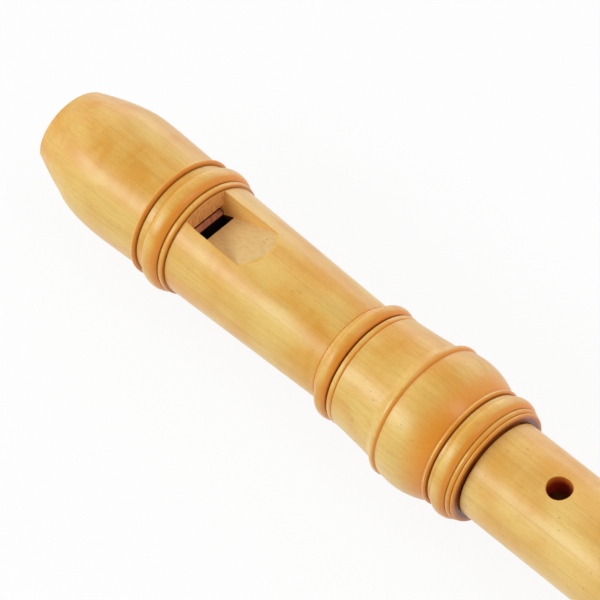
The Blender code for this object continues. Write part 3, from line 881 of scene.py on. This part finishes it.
block_cedar = cedar("bare_cedar")
block = turned(
    "fipple_block",
    [(-OVERRUN, BLOCK_RADIUS), (BLOCK_FRONT, BLOCK_RADIUS)],
    block_cedar,
    closed=False,
)
skin.data.materials.clear()
skin.data.materials.append(block_cedar)
top_cut = prism(
    "top_cut",
    [
        (-2 * OVERRUN, CLEAR),
        (-2 * OVERRUN, FLOOR_HEIGHT),
        (BLOCK_FRONT - BLOCK_BEVEL, FLOOR_HEIGHT),
        (BLOCK_FRONT + OVERRUN, FLOOR_HEIGHT - BLOCK_BEVEL - OVERRUN),
        (BLOCK_FRONT + OVERRUN, CLEAR),
    ],
    lambda x, z: SEAT_RADIUS + OVERRUN,
    block_cedar,
)
cut(block, skin, "INTERSECT")
cut(block, top_cut)
finish_cuts(block, skin, top_cut)
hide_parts("block")
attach(block, "fipple_block")


# Middle joint. A plain maple tube with a tenon at each end, recessed for its cork, and a bore
# that narrows towards the foot. The finger holes are drilled, and their edges eased by hand.

middle_maple = maple("oiled_maple_middle", 7.3, "#F2C672", "#E5A038", DEEP, 0.4, 0.85)

middle_low, middle_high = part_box("middle_joint")
JOINT_GAP = 0.3 * MM
SHOULDER = MOUTH + JOINT_GAP
BODY_END = SHOULDER + 98.5 * MM
BODY_TOP_RADIUS = 9.15 * MM
BODY_END_RADIUS = 8.95 * MM
BODY_BORE_TOP_RADIUS = 4.95 * MM
BODY_BORE_END_RADIUS = 4.05 * MM
UPPER_TENON_END = middle_low[0] - TIP
LOWER_TENON_END = middle_high[0] - TIP
FOOT_SOCKET_RADIUS = 7.2 * MM

# The tenons, and the corks in their recesses
TENON_RIM = 2.2 * MM
CORK_THICKNESS = 1.0 * MM
CORK_GAP = 0.1 * MM
CORK_STANDS_OUT = 0.2 * MM
GLUE_GAP = 0.05 * MM

# The finger holes, each with its distance from the shoulder and its diameter
FINGER_HOLES = [
    (13.5 * MM, 4.4 * MM),
    (28.5 * MM, 4.9 * MM),
    (43.0 * MM, 4.6 * MM),
    (60.5 * MM, 4.9 * MM),
    (76.0 * MM, 4.7 * MM),
]
HOLE_6 = SHOULDER + 89.5 * MM
HOLE_6_PAIR = (3.1 * MM, 2.5 * MM)
PAIR_WEB = 0.9 * MM
THUMB_HOLE = SHOULDER + 5.7 * MM
THUMB_HOLE_DIAMETER = 4.7 * MM
HOLE_ROUNDING = 0.1 * MM
HOLE_SIDES = 72
HOLE_FIRST_SIDE = 0.37  # of a side round, which keeps the drills off the tube's own edges
DRILL_STANDS_OUT = 3 * MM


def body_radius(along):
    share = (along - SHOULDER) / (BODY_END - SHOULDER)
    return BODY_TOP_RADIUS + (BODY_END_RADIUS - BODY_TOP_RADIUS) * share


def drilled_maple(name):
    """The wall of a drilled hole: amber at its rim, and painted darker red further in, as
    painted shade down the hole.
    """
    material, tree = new_material(name)
    where = add_node(tree, "ShaderNodeTexCoord", output="Object")
    grain = figure(tree, where, (3.0, 0.3, 0.3))
    height = distance_from_axis(tree, where)
    rim = BODY_TOP_RADIUS
    colour = stained(tree, linear("#E09830"), grain, 0.3, 0.7, 1.0, "#D08826")
    # Painted shade: darker towards the bore, first orange, then dark red.
    colour = stained(tree, colour, height, rim - 0.1 * MM, rim - 0.6 * MM, 1.0, "#D87222")
    colour = stained(tree, colour, height, rim - 0.5 * MM, rim - 2.2 * MM, 1.0, "#9C2C14")
    give_finish(tree, {"Base Color": colour, "Roughness": 0.45, "IOR": 1.5})
    return material


painted_shade_hole_maple = drilled_maple("drilled_maple_painted_shade")


def hole_cutter(name, along, across, diameter, surface, below=False):
    """A drill with a rounded mouth that follows the tube's surface round the hole."""
    side = -1 if below else 1

    def ring(spread, sink):
        """A ring round the drill, so far outside its radius and so deep under the surface."""
        radius = diameter / 2 + spread
        points = []
        for i in range(HOLE_SIDES):
            turn = math.tau * (i + HOLE_FIRST_SIDE) / HOLE_SIDES
            x = along + radius * math.cos(turn)
            y = across + radius * math.sin(turn)
            points.append(place(x, y, side * (math.sqrt(surface(x) ** 2 - y**2) - sink)))
        return points

    end_in_bore = [Vector((p.x, p.y, AXIS_HEIGHT)) for p in ring(0.0, 0.0)]
    rings = [end_in_bore]
    steps = 5
    for i in range(steps + 1):
        turn = math.radians(90) * i / steps
        spread = HOLE_ROUNDING * (1 - math.cos(turn))
        rings.append(ring(spread, HOLE_ROUNDING * (1 - math.sin(turn))))
    rings.append(ring(HOLE_ROUNDING, -DRILL_STANDS_OUT))
    return cutter(name, rings, painted_shade_hole_maple)


def hole_pair(name, along, diameters, surface):
    """Two small holes side by side, for one finger, with a web of wood between them."""
    wide, narrow = diameters
    middle = (wide - narrow) / 2
    to_wide = middle - (wide + PAIR_WEB) / 2
    to_narrow = middle + (narrow + PAIR_WEB) / 2
    return [
        hole_cutter(name + "_wide", along, to_wide, wide, surface),
        hole_cutter(name + "_narrow", along, to_narrow, narrow, surface),
    ]


def tenon(shoulder, end, socket_radius):
    """The points from a shoulder to its tenon's end, and its cork's start, end and radius."""
    cork_radius = socket_radius - CORK_GAP
    rim = cork_radius - CORK_STANDS_OUT
    bed = cork_radius - CORK_THICKNESS - GLUE_GAP
    way = 1 if end > shoulder else -1
    near = shoulder + way * TENON_RIM
    far = end - way * TENON_RIM
    points = [(shoulder, rim), (near, rim), (near, bed), (far, bed), (far, rim), (end, rim)]
    return points, (near + way * GLUE_GAP, far - way * GLUE_GAP, cork_radius)


upper, upper_cork_place = tenon(SHOULDER, UPPER_TENON_END, SOCKET_RADIUS)
lower, lower_cork_place = tenon(BODY_END, LOWER_TENON_END, FOOT_SOCKET_RADIUS)
tube = [
    (along, body_radius(along))
    for along in (SHOULDER, SHOULDER + SEAM_DIRT_AND_SHADE, BODY_END - SEAM_DIRT_AND_SHADE, BODY_END)
]
bore = [(LOWER_TENON_END, BODY_BORE_END_RADIUS), (UPPER_TENON_END, BODY_BORE_TOP_RADIUS)]
middle_outline = upper[::-1] + tube + lower + bore
middle = turned("middle", middle_outline, middle_maple, seams=[SHOULDER, BODY_END])
drills = [
    hole_cutter(f"finger_hole_{i + 1}", SHOULDER + along, 0.0, diameter, body_radius)
    for i, (along, diameter) in enumerate(FINGER_HOLES)
]
drills += hole_pair("finger_hole_6", HOLE_6, HOLE_6_PAIR, body_radius)
drills.append(
    hole_cutter("thumb_hole", THUMB_HOLE, 0.0, THUMB_HOLE_DIAMETER, body_radius, below=True)
)
for drill in drills:
    cut(middle, drill)
finish_cuts(middle, *drills)
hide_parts("middle_joint")
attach(middle, "middle")


# Tenon corks. Each is a strip of sheet cork glued into the tenon's recess, sanded round and
# greased. They only show when the recorder is taken apart.

CORK_CELL_MM = 0.9


def cork(name):
    """Greased sheet cork: brown cells, with darker pores and seams between them.

    Real cells are too fine to show, so they are drawn as grains of nearly a millimetre.
    """
    material, tree = new_material(name)
    add = partial(add_node, tree)
    where = add("ShaderNodeTexCoord", output="Object")
    scaled = {"Vector": where, "Scale": per_m(CORK_CELL_MM, CORK_CELL_MM, CORK_CELL_MM)}
    scaled = {"Vector": add("ShaderNodeMapping", scaled), "Scale": 1.0}
    cell = add("ShaderNodeTexVoronoi", scaled, output="Color")
    seam = add("ShaderNodeTexVoronoi", scaled, feature="DISTANCE_TO_EDGE")
    pores = figure(tree, where, (1.8, 0.5, 0.5), 3.0)
    colours = {
        0: add("ShaderNodeSeparateColor", cell),
        6: linear("#C49A66"),
        7: linear("#A97B49"),
    }
    colour = add("ShaderNodeMix", colours, output=2, data_type="RGBA")
    colour = stained(tree, colour, pores, 0.58, 0.68, 0.75, "#5E3A1E")
    seam = add("ShaderNodeMath", seam, 6.0, operation="MULTIPLY")
    seam = add("ShaderNodeMath", 0.5, seam, operation="SUBTRACT")
    seam = add("ShaderNodeMath", seam, 0.0, operation="MAXIMUM")
    colours = {0: seam, 6: colour, 7: linear("#7A5230")}
    colour = add("ShaderNodeMix", colours, output=2, data_type="RGBA")
    pits = {"Strength": 0.5, "Distance": 0.08 * MM, "Height": pores}
    pits = add("ShaderNodeBump", pits, invert=True)
    give_finish(tree, {"Base Color": colour, "Roughness": 0.7, "IOR": 1.45, "Normal": pits})
    return material


sheet_cork = cork("greased_cork")
for name, node, body, (first, last, radius) in (
    ("upper_cork", "upper_tenon_cork", "upper_cork", upper_cork_place),
    ("lower_cork", "lower_tenon_cork", "lower_cork", lower_cork_place),
):
    start, end = min(first, last), max(first, last)
    inner = radius - CORK_THICKNESS
    outline = [(start, radius), (end, radius), (end, inner), (start, inner)]
    ring = turned(name, outline, sheet_cork)
    ring.data.shade_smooth()
    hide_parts(node)
    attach(ring, body)


# Foot joint. A short turned maple piece: a bulb round its socket, a waisted stem with the
# double hole for the little finger, and a bell with a bead at its end.

foot_maple = maple("oiled_maple_foot", 12.9, PALE, AMBER, DEEP, 0.4, 0.85)

foot_low, foot_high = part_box("foot_joint")
FOOT_MOUTH = foot_low[0] - TIP
FOOT_END = foot_high[0] - TIP
FOOT_SOCKET_DEPTH = 12.5 * MM
STEM_LENGTH = 15.45 * MM
STEM_TOP_RADIUS = 10.35 * MM
WAIST_RADIUS = 8.9 * MM
HOLE_7_FROM_STEM_TOP = 3.9 * MM
HOLE_7_PAIR = (2.7 * MM, 2.3 * MM)
FOOT_BORE_TOP_RADIUS = 3.95 * MM
FOOT_BORE_END_RADIUS = 3.7 * MM
FOOT_BORE_FLARE = 0.8 * MM
BELL_ROUNDING = 0.7 * MM


def foot_outline():
    """The foot's outside and inside, and where its stem starts."""
    # A soft edge, a bead, a groove and a thin ring at the socket's mouth.
    line = Outline(FOOT_MOUTH, 9.5 * MM)
    line.ease(0.4 * MM, 9.9 * MM, FULL)
    line.taper(0.5 * MM, 9.9 * MM)
    line.bead(2.4 * MM, 9.9 * MM, 10.8 * MM)
    line.band(0.3 * MM, 9.75 * MM)
    line.bead(0.85 * MM, 10.4 * MM, 10.65 * MM)
    line.band(0.12 * MM, 10.4 * MM)
    # The bulb, and the stem with its waist.
    line.step(10.9 * MM)
    line.ease(3.4 * MM, 12.2 * MM, FULL)
    line.ease(5.2 * MM, 10.75 * MM, FULL, late=True)
    line.band(0.12 * MM, 10.25 * MM)
    line.step(STEM_TOP_RADIUS)
    stem = line.end
    line.ease(STEM_LENGTH, WAIST_RADIUS, FULL)
    line.ease(8.4 * MM, 10.2 * MM, FULL, late=True)
    # A thin ring, a groove, the bell's bead, and a strip with a rounded end.
    line.band(0.1 * MM, 10.0 * MM)
    line.bead(0.9 * MM, 10.75 * MM, 11.0 * MM)
    line.band(0.25 * MM, 10.55 * MM)
    line.bead(3.3 * MM, 10.6 * MM, 11.9 * MM)
    line.band(0.12 * MM, 10.45 * MM)
    line.step(10.7 * MM)
    line.taper(FOOT_END - BELL_ROUNDING - line.end, 10.7 * MM)
    line.ease(BELL_ROUNDING, 10.0 * MM, FULL, late=True)
    inside = [
        (FOOT_END, FOOT_BORE_END_RADIUS + FOOT_BORE_FLARE),
        (FOOT_END - FOOT_BORE_FLARE, FOOT_BORE_END_RADIUS),
        (FOOT_MOUTH + FOOT_SOCKET_DEPTH, FOOT_BORE_TOP_RADIUS),
        (FOOT_MOUTH + FOOT_SOCKET_DEPTH, FOOT_SOCKET_RADIUS),
        (FOOT_MOUTH + SOCKET_CHAMFER, FOOT_SOCKET_RADIUS),
        (FOOT_MOUTH, FOOT_SOCKET_RADIUS + SOCKET_CHAMFER),
    ]
    return line.points, inside, stem


foot_points, foot_inside, stem_top = foot_outline()
foot = turned("foot", foot_points + foot_inside, foot_maple, seams=[FOOT_MOUTH])


def stem_radius(along):
    share = min(max((along - stem_top) / STEM_LENGTH, 0.0), 1.0)
    return STEM_TOP_RADIUS + (WAIST_RADIUS - STEM_TOP_RADIUS) * (1 - (1 - share) ** FULL)


hole_7 = stem_top + HOLE_7_FROM_STEM_TOP
drills = hole_pair("finger_hole_7", hole_7, HOLE_7_PAIR, stem_radius)
for drill in drills:
    cut(foot, drill)
finish_cuts(foot, *drills)
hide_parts("foot_joint")
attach(foot, "foot")


# Studio. A white floor that keeps a soft shadow, and a white tent with a dark ceiling and a
# skylight in it. A long softbox stands on each side of the recorder, and a small one hangs at
# the skylight.

FLOOR_SIZE = 6.0
FLOOR_DROP = 0.2 * MM  # The turned beads reach a little under the flats of the solid.


def seen_as_backdrop(tree):
    """1 for what the camera, a gloss or glass sees, and 0 for the light on the object."""
    path = add_node(tree, "ShaderNodeLightPath", output=None).outputs
    seen = (path["Is Camera Ray"], path["Is Glossy Ray"])
    seen = add_node(tree, "ShaderNodeMath", *seen, operation="MAXIMUM")
    seen = (seen, path["Is Transmission Ray"])
    return add_node(tree, "ShaderNodeMath", *seen, operation="MAXIMUM")


def white_floor():
    """Seamless white paper: it looks white, and still shows the shadow of what lies on it."""
    material, tree = new_material("white_paper")
    add = partial(add_node, tree)
    paper = add("ShaderNodeBsdfDiffuse", {"Color": linear("#EFEDEB")})
    glow = add("ShaderNodeEmission", {"Strength": 1.0})
    share = add("ShaderNodeMath", seen_as_backdrop(tree), 0.9, operation="MULTIPLY")
    mixed = add("ShaderNodeMixShader", share, paper, glow)
    add("ShaderNodeOutputMaterial", {"Surface": mixed}, output=None)
    return material


floor_mesh = bpy.data.meshes.new("floor")
bm = bmesh.new()
bmesh.ops.create_grid(bm, x_segments=1, y_segments=1, size=FLOOR_SIZE / 2)
bm.to_mesh(floor_mesh)
bm.free()
floor_mesh.materials.append(white_floor())
floor = as_object("floor", floor_mesh)
floor.location.z = -FLOOR_DROP

CEILING = (0.25, -0.25, 0.93)
SKYLIGHT = (0.45, 0.19, 0.87)
KEY_SIDE = (0.1, -1.0, 0.0)


def tent():
    """The white tent that the gloss of the wood sees, and its softer light on the wood.

    That light is weaker on the left, where the key softbox adds its own.
    """
    world = bpy.data.worlds.new("tent")
    world.use_nodes = True
    tree = world.node_tree
    tree.nodes.clear()
    add = partial(add_node, tree)
    direction = add("ShaderNodeTexCoord", output="Generated")

    def toward(way, low, high):
        """From 0 to 1, as the looked-at direction comes nearer to this one."""
        way = Vector(way).normalized()
        near = add(
            "ShaderNodeVectorMath",
            direction,
            way,
            output="Value",
            operation="DOT_PRODUCT",
        )
        near = {"Value": near, "From Min": low, "From Max": high}
        return add("ShaderNodeMapRange", near, interpolation_type="SMOOTHSTEP")

    skylight = toward(SKYLIGHT, 0.955, 0.98)
    ceiling = toward(CEILING, 0.45, 0.8)
    ceiling = add("ShaderNodeMath", ceiling, skylight, operation="SUBTRACT")
    white = linear("#FFFFFF")
    backdrop = {0: ceiling, 6: white, 7: linear("#484848")}
    backdrop = add("ShaderNodeMix", backdrop, output=2, data_type="RGBA")
    light = {0: toward(KEY_SIDE, 0.0, 0.9), 6: white, 7: linear("#A0A0A0")}
    light = add("ShaderNodeMix", light, output=2, data_type="RGBA")
    backdrop = add("ShaderNodeBackground", {"Color": backdrop, "Strength": 1.0})
    light = add("ShaderNodeBackground", {"Color": light, "Strength": 0.77})
    shown = add("ShaderNodeMixShader", seen_as_backdrop(tree), light, backdrop)
    add("ShaderNodeOutputWorld", {"Surface": shown}, output=None)
    return world


bpy.context.scene.world = tent()

HEAD_MIDDLE = Vector((TIP + 60 * MM, 0.0, AXIS_HEIGHT))
SOFTBOX_DISTANCE = 0.9


def softbox(name, direction, size, power):
    """A rectangular lamp that faces the head, with its first side along the recorder."""
    lamp = bpy.data.lights.new(name, "AREA")
    lamp.shape = "RECTANGLE"
    lamp.size, lamp.size_y = size
    lamp.energy = power
    made = as_object(name, lamp)
    outward = Vector(direction).normalized()
    along = (Vector((1.0, 0.0, 0.0)) - outward * outward.x).normalized()
    facing = Matrix((along, outward.cross(along), outward)).transposed().to_4x4()
    made.matrix_world = Matrix.Translation(HEAD_MIDDLE + outward * SOFTBOX_DISTANCE) @ facing
    return made


key = softbox("key_softbox", (-0.52, -0.7, 0.488), (0.7, 0.22), 4.4)
key.data.color = (0.82, 0.98, 1.0)  # a cool tube
softbox("side_softbox", (-0.459, 0.885, 0.08), (0.8, 0.12), 1.0)
softbox("top_softbox", SKYLIGHT, (0.12, 0.12), 0.8)


# Camera, where the photograph was taken from: above the foot's side, looking at the head.

lens = bpy.data.cameras.new("camera")
lens.sensor_width = 36.0
lens.lens = 180.65
lens.clip_start = 0.01
camera = as_object("camera", lens)
CAMERA_LOOKS = Vector((-0.45869, 0.37130, -0.80730))
CAMERA_FROM_HEAD_MOUTH = Vector((187.57, -188.905, 414.515)) * MM
CAMERA_UP = Vector((-0.55177, 0.59313, 0.58630))
camera.location = Vector((TIP + MOUTH, 0.0, AXIS_HEIGHT)) + CAMERA_FROM_HEAD_MOUTH
back = -CAMERA_LOOKS.normalized()
right = CAMERA_UP.cross(back).normalized()
camera.rotation_euler = Matrix((right, back.cross(right), back)).transposed().to_euler()
bpy.context.scene.camera = camera
bpy.context.scene.view_settings.view_transform = "Standard"
